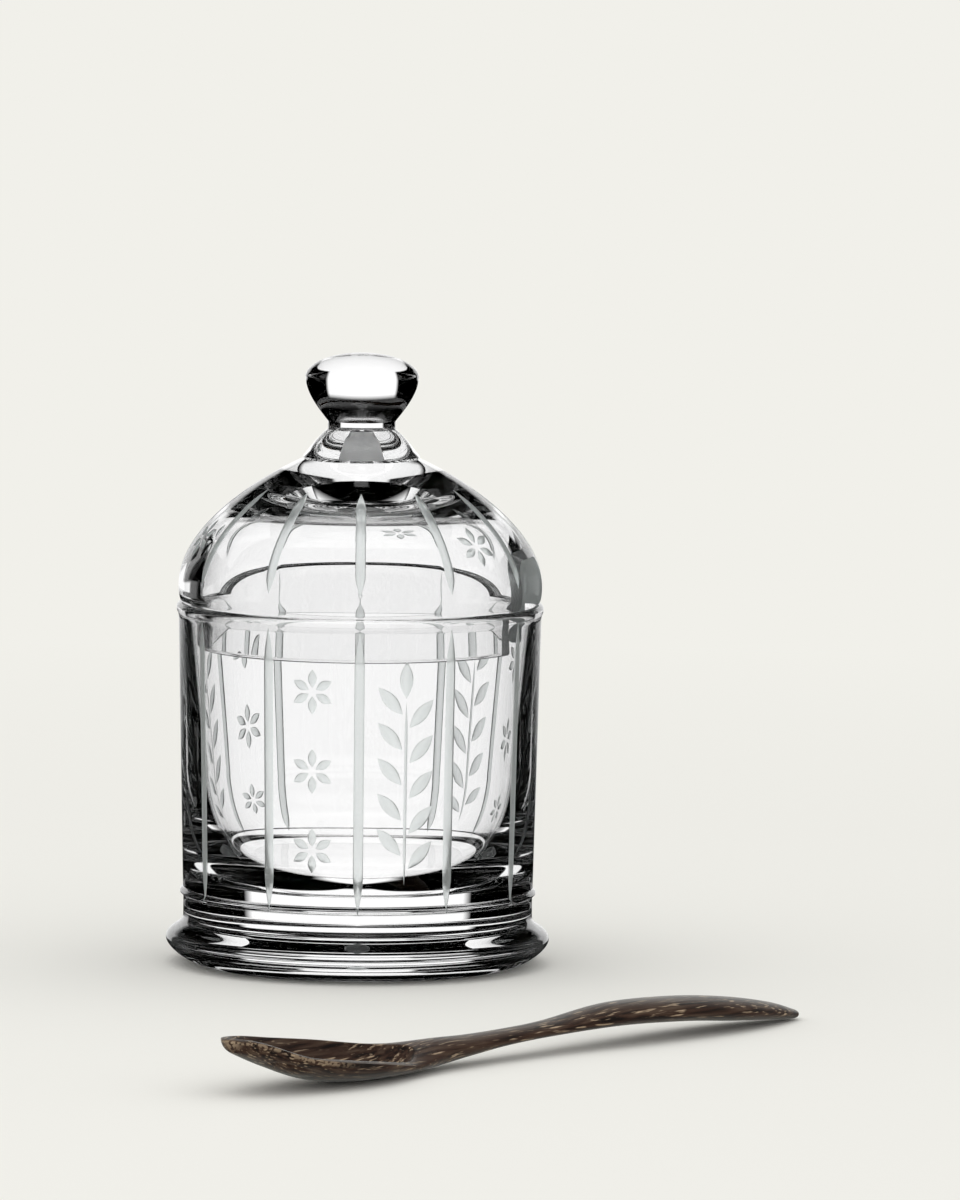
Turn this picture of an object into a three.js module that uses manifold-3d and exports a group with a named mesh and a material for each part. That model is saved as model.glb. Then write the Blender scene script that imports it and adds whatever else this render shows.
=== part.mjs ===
// A honey pot in cut crystal: a heavy-footed pot, a domed lid with an applied knob, and a carved
// palm-wood spoon that lies beside it. Units are millimetres and +Z is up. The origin is the centre
// of the pot's flat base, and the spoon lies in front of the pot, on the -Y side.

import * as THREE from "three";
import { mergeVertices } from "three/addons/utils/BufferGeometryUtils.js";
import Module from "manifold-3d";

const wasm = await Module();
wasm.setup();

// Pot
const potHeight = 82.4; // flat base to the crest of the rim
const baseRadius = 35.5; // ground flat on the underside
const footRadius = 43.6; // widest ring of the flared foot
const footRingHeight = 5.7; // that ring above the base
const roundingRadius = 39.5; // aim of the foot's rounding as it leaves the base
const roundingHeight = 0.6;
const roundingTopHeight = 3.9; // its aim straight under that ring
const waistRadius = 39.7; // drawn in above the foot
const waistHeight = 10.9;
const ridgeHeight = 16.4; // fine raised line above the foot
const ridgeRadius = 40.5;
const ridgeHalfHeight = 1.1; // half the height of that line
const wallFootRadius = 39.8; // outside of the wall, at the ridge
const wallTopRadius = 41.2; // outside of the wall, under the rim
const wallThickness = 2; // at the mouth
const rimSwell = 0.5; // fire-polished bead, proud of the wall
const rimBead = 1.2; // half the height of that bead
const beadRiseHeight = 2.2; // from the wall out to that bead
const cavityRadius = 35.6; // inside, where the wall turns into the bottom
const cavityShoulderHeight = 46; // that place above the base
const cavityFloor = 17.2; // solid glass under the cavity
const floorRadius = 25; // nearly flat floor of the cavity
const floorDishHeight = 1.7; // edge of that floor above its middle

// Lid
const lidSeatGap = 0.1; // lid to rim
const flangeClearance = 1.8; // flange to the pot's mouth, all round
const flangeThickness = 3.2; // at its lower edge
const flangeDepth = 10.3; // below the lid's seat
const flangeRound = 0.8; // rounding of the flange's lower edge
const seatTuck = 0.8; // flat ring that rests on the rim, in from the widest ring of the dome
const domeOverhang = 0.1; // widest ring of the dome, beyond the pot's wall
const domeTuck = 3.7; // that ring above the seat
const domeHeight = 29; // that ring to the flat under the knob
const domeThickness = 5.4; // near its edge
const hollowHeight = 5.5; // that place above the seat
const hollowFlatWidth = 15.9; // from there in to the flat under the crown
const crownThickness = 10.7; // solid glass that carries the knob

// Spoon notch, ground through the edge of the lid
const notchWidth = 18;
const notchHeight = 11; // above the lid's seat
const notchRound = 5; // radius of its upper corners
const notchBearing = -15; // degrees from +X, between two flutes

// Knob, applied to the crown of the dome
const knobSeatGap = 0.05; // where the two gathers of glass meet
const knobFootRadius = 13.3;
const knobLipHeight = 0.5; // upright edge of the foot
const neckRadius = 7.7;
const neckHeight = 6.2; // lip to the neck
const neckLength = 1.9; // straight stretch under the bulb
const bulbRadius = 12.85;
const bulbRise = 9.9; // neck to the widest ring of the bulb
const bulbCrown = 5.5; // that ring to the top

// Flutes: mitre cuts with pointed ends, at equal angles round the pot and the dome
const fluteCount = 12;
const fluteWidth = 2.3;
const fluteDepth = 0.55;
const fluteTaper = 9; // length of each pointed end
const potFluteFoot = 1; // lower end below the ridge
const potFluteTop = 2.2; // upper end below the crest of the rim
const domeFluteLow = 0.04; // lower end, as a share of the way up the dome's curve
const domeFluteHigh = 0.72; // upper end

// Spoon
const bowlLength = 60;
const bowlWidth = 23.4;
const bowlRim = 1.5; // wall of the bowl at its rim
const bowlDepth = 5.6; // hollow, below the rim
const bowlRimHeight = 8.8; // rim above the table, at the widest place of the bowl
const bowlLift = 2.9; // how much higher the rim is at the tip
const bowlTipThickness = 3;
const rimCrown = 0.6; // rounding of the bowl's rim
const shankWidth = 8.4; // slimmest place, between bowl and handle
const shankThickness = 3.4;
const shankArch = 3; // underside of the shank above the table
const handleLength = 123;
const handleWidth = 16;
const handleThickness = 5;
const handleArch = 4; // underside of the handle above the table, at its highest
const spoonForward = 157.7; // middle of the spoon in front of the pot's axis
const spoonAside = 35.5; // middle of the spoon to the right of it
const spoonTurn = 47.3; // degrees, handle away from the viewer

// Facets
const turnSegments = 48; // round the pot and the lid
const knobSegments = 36;
const spoonSides = 20;
const spoonStepsPerStation = 3;
const hollowSides = 26; // round the hollow of the spoon's bowl
const hollowRings = 16;
const domeFluteSpans = 5; // straight lengths of a flute over the dome's curve
const weldDistance = 1e-4; // points nearer than this are one point

const crystal = new THREE.MeshStandardMaterial({
  color: 0xf4f6f6,
  roughness: 0.03,
  metalness: 0,
  transparent: true,
  opacity: 0.35,
});
const palmWood = new THREE.MeshStandardMaterial({ color: 0x3a2a1f, roughness: 0.5, metalness: 0 });

function point(radius, height) {
  return new THREE.Vector2(Math.max(radius, 0), height);
}

// Points of an elliptical arc in the half-plane of radius and height. Angles are in degrees, from the
// outward direction towards +Z.
function arc(centreR, centreZ, radiusR, radiusZ, fromDegrees, toDegrees, steps) {
  const points = [];
  for (let i = 0; i <= steps; i++) {
    const angle = THREE.MathUtils.degToRad(fromDegrees + ((toDegrees - fromDegrees) * i) / steps);
    points.push(point(centreR + radiusR * Math.cos(angle), centreZ + radiusZ * Math.sin(angle)));
  }
  return points;
}

// A curve between two points that leaves and arrives upright, as drawn-in glass does.
function drawnIn(from, to, steps) {
  const middle = (from.y + to.y) / 2;
  const bend = new THREE.CubicBezierCurve(from, point(from.x, middle), point(to.x, middle), to);
  return bend.getPoints(steps);
}

// A body of revolution about Z. The profile runs anticlockwise, from the axis back to the axis.
function turned(profile, segments) {
  const distinct = profile.filter((p, i) => i === 0 || p.distanceTo(profile[i - 1]) > weldDistance);
  return new THREE.LatheGeometry(distinct, segments).rotateX(Math.PI / 2);
}

// A closed skin over rings of equally many points, drawn to a single point at each end.
function loft(startTip, rings, endTip) {
  const sides = rings[0].length;
  const vertices = [startTip, ...rings.flat(), endTip];
  const end = vertices.length - 1;
  const at = (ring, side) => 1 + ring * sides + (side % sides);
  const index = [];
  for (let side = 0; side < sides; side++) {
    index.push(0, at(0, side + 1), at(0, side));
    for (let ring = 0; ring + 1 < rings.length; ring++) {
      index.push(at(ring, side), at(ring, side + 1), at(ring + 1, side));
      index.push(at(ring, side + 1), at(ring + 1, side + 1), at(ring + 1, side));
    }
    index.push(at(rings.length - 1, side), at(rings.length - 1, side + 1), end);
  }
  const positions = vertices.flatMap((v) => [v.x, v.y, v.z]);
  return new THREE.BufferGeometry()
    .setAttribute("position", new THREE.Float32BufferAttribute(positions, 3))
    .setIndex(index);
}

// A geometry as a solid that can be cut.
function solid(geometry) {
  const bare = geometry.clone();
  bare.deleteAttribute("normal");
  bare.deleteAttribute("uv");
  const merged = mergeVertices(bare, weldDistance);
  const corners = merged.index.array;
  const triangles = [];
  for (let i = 0; i < corners.length; i += 3) {
    const [a, b, c] = corners.slice(i, i + 3);
    if (a !== b && b !== c && c !== a) {
      triangles.push(a, b, c);
    }
  }
  return new wasm.Manifold(
    new wasm.Mesh({
      numProp: 3,
      vertProperties: merged.attributes.position.array,
      triVerts: new Uint32Array(triangles),
    }),
  );
}

function cutAway(geometry, cutters) {
  let left = solid(geometry);
  for (const cutter of cutters) {
    left = left.subtract(solid(cutter));
  }
  const mesh = left.getMesh();
  const cut = new THREE.BufferGeometry()
    .setAttribute("position", new THREE.BufferAttribute(mesh.vertProperties, 3))
    .setIndex(new THREE.BufferAttribute(mesh.triVerts, 1));
  cut.computeVertexNormals();
  return cut;
}

function piece(name, geometry, material) {
  const mesh = new THREE.Mesh(geometry, material);
  mesh.name = name;
  return mesh;
}

// Levels and radii that several pieces share
const mouthRadius = wallTopRadius - wallThickness;
const beadLevel = potHeight - rimBead;
const beadStart = beadLevel - beadRiseHeight;
const lidSeat = potHeight + lidSeatGap;
const flangeRadius = mouthRadius - flangeClearance;
const flangeBore = flangeRadius - flangeThickness;
const flangeFoot = lidSeat - flangeDepth + flangeRound;
const domeRadius = wallTopRadius + domeOverhang;
const domeLevel = lidSeat + domeTuck;
const landLevel = domeLevel + domeHeight;

// The pot: one gather of blown glass with a solid foot. Its wall thickens downwards, and the bottom of
// its cavity is rounded into a nearly flat floor.
function potProfile() {
  const ring = point(footRadius, footRingHeight);
  const waist = point(waistRadius, waistHeight);
  const ridge = point(ridgeRadius, ridgeHeight);
  const underRidge = point(waistRadius, ridgeHeight - ridgeHalfHeight);
  const overRidge = point(wallFootRadius, ridgeHeight + ridgeHalfHeight);
  const rimRadius = wallTopRadius + rimSwell;
  const rimMiddle = (rimRadius + mouthRadius) / 2;
  const floorEdge = point(floorRadius, cavityFloor + floorDishHeight);
  const rounding = new THREE.CubicBezierCurve(
    point(baseRadius, 0),
    point(roundingRadius, roundingHeight),
    point(footRadius, roundingTopHeight),
    ring,
  );
  const bottom = new THREE.CubicBezierCurve(
    point(cavityRadius, cavityShoulderHeight),
    point(0.975 * cavityRadius, 0.4 * cavityFloor + 0.6 * cavityShoulderHeight),
    point(0.935 * cavityRadius, 0.8 * cavityFloor + 0.2 * cavityShoulderHeight),
    floorEdge,
  );
  const dish = new THREE.QuadraticBezierCurve(
    floorEdge,
    point(0.6 * floorRadius, cavityFloor),
    point(0, cavityFloor),
  );
  return [
    point(0, 0),
    ...rounding.getPoints(6),
    ...drawnIn(ring, waist, 5),
    ...drawnIn(underRidge, ridge, 2),
    ...drawnIn(ridge, overRidge, 2),
    ...drawnIn(point(wallTopRadius, beadStart), point(rimRadius, beadLevel), 3),
    ...arc(rimMiddle, beadLevel, rimRadius - rimMiddle, rimBead, 0, 180, 6),
    ...bottom.getPoints(9),
    ...dish.getPoints(3),
  ];
}

// The outside of the dome: upright at its widest ring, and still rising where it meets the knob.
function domeCurve() {
  return new THREE.CubicBezierCurve(
    point(domeRadius, domeLevel),
    point(domeRadius, domeLevel + 0.42 * domeHeight),
    point(0.617 * domeRadius, landLevel - 0.19 * domeHeight),
    point(knobFootRadius, landLevel),
  );
}

// The lid: a blown dome with a thick crown, whose edge is drawn in to a flange that drops inside the
// pot's mouth. Its hollow is flat under the crown.
function lidProfile() {
  const seatEdge = domeRadius - seatTuck;
  const hollowRadius = domeRadius - domeThickness;
  const hollowFlat = hollowRadius - hollowFlatWidth;
  const crown = landLevel - crownThickness;
  const hollow = new THREE.CubicBezierCurve(
    point(hollowFlat, crown),
    point((hollowFlat + hollowRadius) / 2, crown),
    point(1.02 * hollowRadius, (crown + lidSeat + hollowHeight) / 2),
    point(hollowRadius, lidSeat + hollowHeight),
  );
  return [
    point(0, crown),
    ...hollow.getPoints(9),
    ...arc(flangeBore + flangeRound, flangeFoot, flangeRound, flangeRound, 180, 270, 3),
    ...arc(flangeRadius - flangeRound, flangeFoot, flangeRound, flangeRound, -90, 0, 3),
    point(flangeRadius, lidSeat),
    ...arc(seatEdge, domeLevel, domeRadius - seatEdge, domeTuck, -90, 0, 4),
    ...domeCurve().getPoints(11),
    point(0, landLevel),
  ];
}

// The notch lets the spoon's handle stand out of the closed pot. It is cut straight through, outwards.
function notchCutter() {
  const half = notchWidth / 2;
  const round = Math.min(notchRound, half);
  const top = lidSeat + notchHeight;
  const bottom = flangeFoot - 2 * flangeRound;
  const outline = new THREE.Shape()
    .moveTo(-half, bottom)
    .lineTo(half, bottom)
    .absarc(half - round, top - round, round, 0, Math.PI / 2)
    .absarc(round - half, top - round, round, Math.PI / 2, Math.PI);
  const inside = flangeBore - flangeThickness;
  const depth = domeRadius + flangeThickness - inside;
  const cutter = new THREE.ExtrudeGeometry(outline, { depth, bevelEnabled: false, curveSegments: 5 });
  const angle = THREE.MathUtils.degToRad(notchBearing);
  const outward = new THREE.Vector3(Math.cos(angle), Math.sin(angle), 0);
  const across = new THREE.Vector3(-Math.sin(angle), Math.cos(angle), 0);
  const stand = new THREE.Matrix4().makeBasis(across, new THREE.Vector3(0, 0, 1), outward);
  return cutter.translate(0, 0, inside).applyMatrix4(stand);
}

// The knob: a solid bulb on a short neck, with a foot that spreads over the dome's crown.
function knobProfile() {
  const foot = landLevel + knobSeatGap;
  const lip = foot + knobLipHeight;
  const neck = lip + neckHeight;
  const bulbStart = neck + neckLength;
  const bulbLevel = bulbStart + bulbRise;
  const flare = new THREE.QuadraticBezierCurve(
    point(knobFootRadius, lip),
    point(neckRadius + 0.35 * (knobFootRadius - neckRadius), lip + 0.75 * neckHeight),
    point(neckRadius, neck),
  );
  const swell = new THREE.CubicBezierCurve(
    point(neckRadius, bulbStart),
    point(neckRadius + 0.3 * (bulbRadius - neckRadius), bulbStart + 0.2 * bulbRise),
    point(bulbRadius, bulbStart + 0.62 * bulbRise),
    point(bulbRadius, bulbLevel),
  );
  return [
    point(0, foot),
    point(knobFootRadius, foot),
    ...flare.getPoints(7),
    ...swell.getPoints(7),
    ...arc(0, bulbLevel, bulbRadius, bulbCrown, 0, 90, 7),
  ];
}

// The path of a mitre wheel up a meridian: a diamond section that swells from a point and dies to one.
// The straight middle is divided into as many spans as its curve needs.
function fluteCutter(meridian, spans, angle) {
  const taper = Math.min(fluteTaper / meridian.getLength(), 0.5);
  const across = new THREE.Vector3(-Math.sin(angle), Math.cos(angle), 0);
  const stand = (p) => new THREE.Vector3(p.x * Math.cos(angle), p.x * Math.sin(angle), p.y);
  const places = [taper / 2];
  for (let i = 0; i <= spans; i++) {
    places.push(taper + ((1 - 2 * taper) * i) / spans);
  }
  places.push(1 - taper / 2);
  const rings = places.map((place) => {
    const share = Math.min(1, place / taper, (1 - place) / taper);
    const along = meridian.getTangentAt(place);
    const centre = stand(meridian.getPointAt(place));
    const outward = stand(new THREE.Vector2(along.y, -along.x)).multiplyScalar(fluteDepth * share);
    const aside = across.clone().multiplyScalar((fluteWidth / 2) * share);
    return [
      centre.clone().add(outward),
      centre.clone().add(aside),
      centre.clone().sub(outward),
      centre.clone().sub(aside),
    ];
  });
  return loft(stand(meridian.getPointAt(0)), rings, stand(meridian.getPointAt(1)));
}

function fluteCutters(meridian, spans) {
  const cutters = [];
  for (let i = 0; i < fluteCount; i++) {
    cutters.push(fluteCutter(meridian, spans, (2 * Math.PI * i) / fluteCount - Math.PI / 2));
  }
  return cutters;
}

function wallRadiusAt(height) {
  const share = (height - ridgeHeight) / (beadStart - ridgeHeight);
  return wallFootRadius + (wallTopRadius - wallFootRadius) * share;
}

function potMeridian() {
  const low = ridgeHeight - potFluteFoot;
  const high = potHeight - potFluteTop;
  return new THREE.LineCurve(point(wallRadiusAt(low), low), point(wallRadiusAt(high), high));
}

function domeMeridian() {
  const whole = domeCurve();
  const points = [];
  for (let i = 0; i <= domeFluteSpans; i++) {
    const share = domeFluteLow + ((domeFluteHigh - domeFluteLow) * i) / domeFluteSpans;
    points.push(whole.getPoint(share));
  }
  return new THREE.SplineCurve(points);
}

// The spoon runs along +X from the tip of its bowl and stands on z = 0. A station gives the place
// along the spoon, half its width, the height of its side edge, the crown over and the keel under it.
function station(place, half, edge, crown, keel) {
  return { place, half, edge, crown, keel };
}

function spoonStations() {
  const bowl = (share) => share * bowlLength;
  const handle = (share) => bowlLength + share * handleLength;
  const bowlHalf = bowlWidth / 2;
  const shankHalf = shankWidth / 2;
  const handleHalf = handleWidth / 2;
  const tip = bowlRimHeight + bowlLift;
  const shankEdge = shankArch + 0.56 * shankThickness;
  const shankCrown = 0.44 * shankThickness;
  const handleEdge = handleArch + 0.48 * handleThickness;
  const crown = 0.52 * handleThickness;
  return [
    station(bowl(0.015), 0.23 * bowlHalf, tip, 0.6 * rimCrown, tip - 0.6 * bowlTipThickness),
    station(bowl(0.06), 0.46 * bowlHalf, tip, rimCrown, tip - bowlTipThickness),
    station(bowl(0.21), 0.8 * bowlHalf, bowlRimHeight + 0.7 * bowlLift, rimCrown, 0.55 * bowlRimHeight),
    station(bowl(0.4), bowlHalf, bowlRimHeight + 0.15 * bowlLift, rimCrown, 0.15 * bowlRimHeight),
    station(bowl(0.62), 0.97 * bowlHalf, 0.86 * bowlRimHeight, rimCrown, 0),
    station(bowl(0.84), 0.7 * bowlHalf, 0.65 * bowlRimHeight, 1.5 * rimCrown, 0.03 * shankArch),
    station(handle(0.02), 1.33 * shankHalf, 0.96 * shankEdge, 1.27 * shankCrown, 0.2 * shankArch),
    station(handle(0.11), 1.1 * shankHalf, 0.92 * shankEdge, 1.2 * shankCrown, 0.6 * shankArch),
    station(handle(0.21), shankHalf, shankEdge, shankCrown, shankArch),
    station(handle(0.33), 1.1 * shankHalf, 1.1 * shankEdge, 1.07 * shankCrown, 0.93 * handleArch),
    station(handle(0.5), 0.83 * handleHalf, handleEdge, crown, handleArch),
    station(handle(0.67), handleHalf, 0.91 * handleEdge, 1.04 * crown, 0.78 * handleArch),
    station(handle(0.8), 0.95 * handleHalf, 0.66 * handleEdge, 1.08 * crown, 0.43 * handleArch),
    station(handle(0.91), 0.65 * handleHalf, 0.41 * handleEdge, 0.81 * crown, 0.18 * handleArch),
    station(handle(0.98), 0.3 * handleHalf, 0.2 * handleEdge, 0.38 * crown, 0.03 * handleArch),
  ];
}

function spoonRing(across, upright) {
  const ring = [];
  for (let i = 0; i < spoonSides; i++) {
    const angle = (2 * Math.PI * i) / spoonSides;
    const reach = Math.sin(angle) > 0 ? upright.y : across.z - Math.max(upright.z, 0);
    ring.push(new THREE.Vector3(across.x, across.y * Math.cos(angle), across.z + reach * Math.sin(angle)));
  }
  return ring;
}

function spoonGeometry() {
  const stations = spoonStations();
  const through = (pick) => new THREE.CatmullRomCurve3(stations.map(pick), false, "catmullrom");
  const across = through((row) => new THREE.Vector3(row.place, row.half, row.edge));
  const upright = through((row) => new THREE.Vector3(row.place, row.crown, row.keel));
  const steps = (stations.length - 1) * spoonStepsPerStation;
  const rings = [];
  for (let i = 0; i <= steps; i++) {
    rings.push(spoonRing(across.getPoint(i / steps), upright.getPoint(i / steps)));
  }
  const bowlTip = new THREE.Vector3(0, 0, stations[0].edge);
  const handleTip = new THREE.Vector3(bowlLength + handleLength, 0, stations.at(-1).edge);
  return cutAway(loft(bowlTip, rings, handleTip), [bowlHollow()]);
}

// The hollow of the spoon's bowl, tilted with its rim.
function bowlHollow() {
  const hollow = new THREE.SphereGeometry(1, hollowSides, hollowRings);
  hollow.scale(bowlLength / 2 - 3 * bowlRim, bowlWidth / 2 - bowlRim, bowlDepth + rimCrown);
  hollow.rotateY(Math.atan2(bowlLift, bowlLength / 2));
  hollow.translate((bowlLength - bowlRim) / 2, 0, bowlRimHeight + rimCrown);
  return hollow;
}

const honeyPot = new THREE.Group();
const potCutters = fluteCutters(potMeridian(), 1);
honeyPot.add(piece("pot", cutAway(turned(potProfile(), turnSegments), potCutters), crystal));

const lid = new THREE.Group();
const lidCutters = [notchCutter(), ...fluteCutters(domeMeridian(), domeFluteSpans)];
lid.add(piece("lid_dome", cutAway(turned(lidProfile(), turnSegments), lidCutters), crystal));
lid.add(piece("lid_knob", turned(knobProfile(), knobSegments), crystal));
honeyPot.add(lid);

const spoonRest = new THREE.Group();
spoonRest.position.set(spoonAside, -spoonForward, 0);
spoonRest.rotation.z = THREE.MathUtils.degToRad(spoonTurn);
const spoon = piece("spoon", spoonGeometry(), palmWood);
spoon.position.x = -(bowlLength + handleLength) / 2;
spoonRest.add(spoon);
honeyPot.add(spoonRest);

export default honeyPot;
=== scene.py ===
# A honey pot in cut crystal with a carved palm-wood spoon, in a plain pale studio.
# Lengths are written in millimetres and turned into metres as each mesh is made.

import math

import bpy
from mathutils import Matrix, Vector

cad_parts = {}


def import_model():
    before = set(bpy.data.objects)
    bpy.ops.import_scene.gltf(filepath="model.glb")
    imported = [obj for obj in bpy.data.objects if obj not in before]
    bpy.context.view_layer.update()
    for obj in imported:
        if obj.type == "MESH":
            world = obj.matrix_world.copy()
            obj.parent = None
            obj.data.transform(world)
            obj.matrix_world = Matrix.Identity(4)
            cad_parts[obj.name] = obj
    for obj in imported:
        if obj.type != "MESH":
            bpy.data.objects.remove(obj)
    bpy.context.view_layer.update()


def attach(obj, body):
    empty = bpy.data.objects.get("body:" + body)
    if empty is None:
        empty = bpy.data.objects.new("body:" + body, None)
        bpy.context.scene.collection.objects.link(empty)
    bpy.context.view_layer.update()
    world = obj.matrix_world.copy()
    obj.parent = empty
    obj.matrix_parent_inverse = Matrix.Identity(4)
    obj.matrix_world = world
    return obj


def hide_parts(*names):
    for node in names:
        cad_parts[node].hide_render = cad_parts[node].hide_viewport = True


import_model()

MM = 0.001

# Pot, in mm from the centre of its flat base
POT_HEIGHT = 82.4
BASE_RADIUS = 35.5
ROUNDING = (39.5, 0.6)
ROUNDING_TOP = 3.9
FOOT_RADIUS = 43.6
FOOT_RING = 5.7
WAIST_RADIUS = 39.7
WAIST = 10.9
RIDGE = 16.4
RIDGE_RADIUS = 40.5
RIDGE_HALF = 1.1
WALL_FOOT_RADIUS = 39.8
WALL_TOP_RADIUS = 41.2
BEAD_START = 79
BEAD = 81.2
RIM_RADIUS = 41.7
MOUTH_RADIUS = 39.2
CAVITY_RADIUS = 35.6
CAVITY_SHOULDER = 46
CAVITY_FLOOR = 17.2
FLOOR_RADIUS = 25
FLOOR_DISH = 1.7
# Handles of the cavity's curve, as shares of its radius and of its depth
CAVITY_HANDLES = ((0.975, 0.6), (0.935, 0.2))
DISH_HANDLE = 0.6

# Lid, at rest on the rim
SEAT = 82.5
FLANGE_RADIUS = 37.4
FLANGE_BORE = 34.2
FLANGE_FOOT = 72.2
FLANGE_ROUND = 0.8
SEAT_EDGE = 40.5
DOME_RADIUS = 41.3
DOME_LEVEL = 86.2
DOME_TOP = 115.2
INNER_TOP = 104.5
INNER_FLAT = 19
INNER_RADIUS = 36.3
INNER_LEVEL = 85.5
FLANGE_TOP = (34.6, 79.5)
KNOB_FOOT_RADIUS = 13.3
KNOB_LIP = 0.5
NECK_RADIUS = 7.7
NECK = 121.9
NECK_LENGTH = 1.9
BULB_RADIUS = 12.85
BULB = 133.7
KNOB_TOP = 139.2
DOME_SHOULDER = 98.4
DOME_SLOPE = (25.5, 109.6)
# Handles of the lid's other curves, as shares of their width and rise
HOLLOW_TOP_HANDLE = 0.47
HOLLOW_SIDE_HANDLE = (0.99, 0.4)
NECK_HANDLE = (0.35, 0.75)
BULB_HANDLE = (0.3, 0.2)
BULB_SIDE_HANDLE = 0.62
NOTCH_WIDTH = 18
NOTCH_TOP = 93.7
NOTCH_ROUND = 5
NOTCH_BEARING = math.radians(-15)
NOTCH_OVERRUN = 4

# Cuts of the mitre wheel. The dome's cuts are placed by shares of the way up its curve.
FLUTES = 12
PANELS_PER_MOTIF = 4
FLUTE_WIDTH = 2.3
FLUTE_DEPTH = 0.55
FLUTE_STEPS = 48
POT_FLUTE = (15.6, 80.2)
POT_FLUTE_TAPER = 0.14
DOME_FLUTE = (0.04, 0.72)
DOME_FLUTE_TAPER = 0.2
LEAF_STEPS = 10
LEAF_DEPTH = 0.45
LEAF_TAPER = 0.5
PETALS = 6
PETAL_LENGTH = 4.2
PETAL_WIDTH = 2.0
PETAL_GAP = 0.9
POT_BLOSSOMS = (30, 48, 66)
DOME_BLOSSOM = 0.33
DOME_PACE = 1 / 40

# The sprig between two flutes: a stem with pairs of leaves and one leaf at the top
STEM = (22, 64)
STEM_WIDTH = 0.7
STEM_DEPTH = 0.3
STEM_TAPER = 0.2
STEM_STEPS = 16
LEAF_PAIRS = 5
FIRST_PAIR = 26
PAIR_STEP = 8
PAIR_STAGGER = 3
LEAF_LENGTH = 8.5
LEAF_LEAN = 42
LEAF_WIDTH = 3.0
LEAF_ROOT = 0.8
TOP_LEAF = 64.6
TOP_LEAF_WIDTH = 3.2

# Spoon
BOWL_LENGTH = 60
BOWL_WIDTH = 23.4
BOWL_RIM = 1.5
BOWL_DEPTH = 5.6
RIM_CROWN = 0.6
RIM_BLEND = 0.5
BOWL_RIM_HEIGHT = 8.8
BOWL_LIFT = 2.9
NEAR_DROP = 3.2
# Shares of the bowl's length: where the drop is full, and where it and the chips of the rim fade
DROP_FULL = 0.28
DROP_FADE = (0.8, 1.15)
CHIP_FADE = (0.3, 0.5)
CHIP_LEVEL = 0.6
CHIP_BAND = (0.97, 0.99)
HANDLE_LENGTH = 123
SPOON_PLACE = (35.5, -157.7, 0)
SPOON_TURN = math.radians(47.3)

# Patterns of the finishes. The real grit is finer, and is drawn this coarse so that it shows.
BLOWN_WAVE = 16.7
GRIT = 0.4
FIBRE_LENGTH = 20
FIBRE_WIDTH = 1.11
VESSEL_LENGTH = 6.25
VESSEL_WIDTH = 0.588
CRUMB = 0.77

# Smoothness of the meshes
TURN_SEGMENTS = 240
CUT_SIDES = 8
SPOON_SIDES = 96
SPOON_STEPS = 16
SHARP_ANGLE = math.radians(28)
SAME_POINT = 0.0001
TOLERANCE = 0.01
CURVE_STEP = 0.001


# Outlines in the half-plane of radius and height


def arc(centre, radii, start, end, steps):
    """Points of an elliptical arc, angles in degrees from the outward direction."""
    points = []
    for i in range(steps + 1):
        angle = math.radians(start + (end - start) * i / steps)
        points.append((centre[0] + radii[0] * math.cos(angle), centre[1] + radii[1] * math.sin(angle)))
    return points


def bezier_at(handles, t):
    """The point of a Bezier curve of any order at t, from 0 to 1."""
    row = [Vector(handle) for handle in handles]
    while len(row) > 1:
        row = [a.lerp(b, t) for a, b in zip(row, row[1:])]
    return tuple(row[0])


def bezier(handles, steps):
    """Points along a Bezier curve, both ends included."""
    return [bezier_at(handles, i / steps) for i in range(steps + 1)]


def drawn_in(start, end, steps):
    """A curve that leaves and arrives upright, as drawn-in glass does."""
    middle = (start[1] + end[1]) / 2
    return bezier([start, (start[0], middle), (end[0], middle), end], steps)


def pot_profile():
    """From the middle of the base, up the outside and over the rim to the middle of the cavity's floor."""
    rim_middle = (RIM_RADIUS + MOUTH_RADIUS) / 2
    rim_half = (RIM_RADIUS - MOUTH_RADIUS) / 2
    depth = CAVITY_SHOULDER - CAVITY_FLOOR
    handles = [(out * CAVITY_RADIUS, CAVITY_FLOOR + up * depth) for out, up in CAVITY_HANDLES]
    floor_edge = (FLOOR_RADIUS, CAVITY_FLOOR + FLOOR_DISH)
    return [
        (0, 0),
        *bezier([(BASE_RADIUS, 0), ROUNDING, (FOOT_RADIUS, ROUNDING_TOP), (FOOT_RADIUS, FOOT_RING)], 16),
        *drawn_in((FOOT_RADIUS, FOOT_RING), (WAIST_RADIUS, WAIST), 14),
        (WAIST_RADIUS, RIDGE - RIDGE_HALF),
        *drawn_in((WAIST_RADIUS, RIDGE - RIDGE_HALF), (RIDGE_RADIUS, RIDGE), 5),
        *drawn_in((RIDGE_RADIUS, RIDGE), (WALL_FOOT_RADIUS, RIDGE + RIDGE_HALF), 5),
        *drawn_in((WALL_TOP_RADIUS, BEAD_START), (RIM_RADIUS, BEAD), 8),
        *arc((rim_middle, BEAD), (rim_half, POT_HEIGHT - BEAD), 0, 180, 16),
        *bezier([(CAVITY_RADIUS, CAVITY_SHOULDER), *handles, floor_edge], 40),
        *bezier([floor_edge, (DISH_HANDLE * FLOOR_RADIUS, CAVITY_FLOOR), (0, CAVITY_FLOOR)], 16),
    ]


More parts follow.
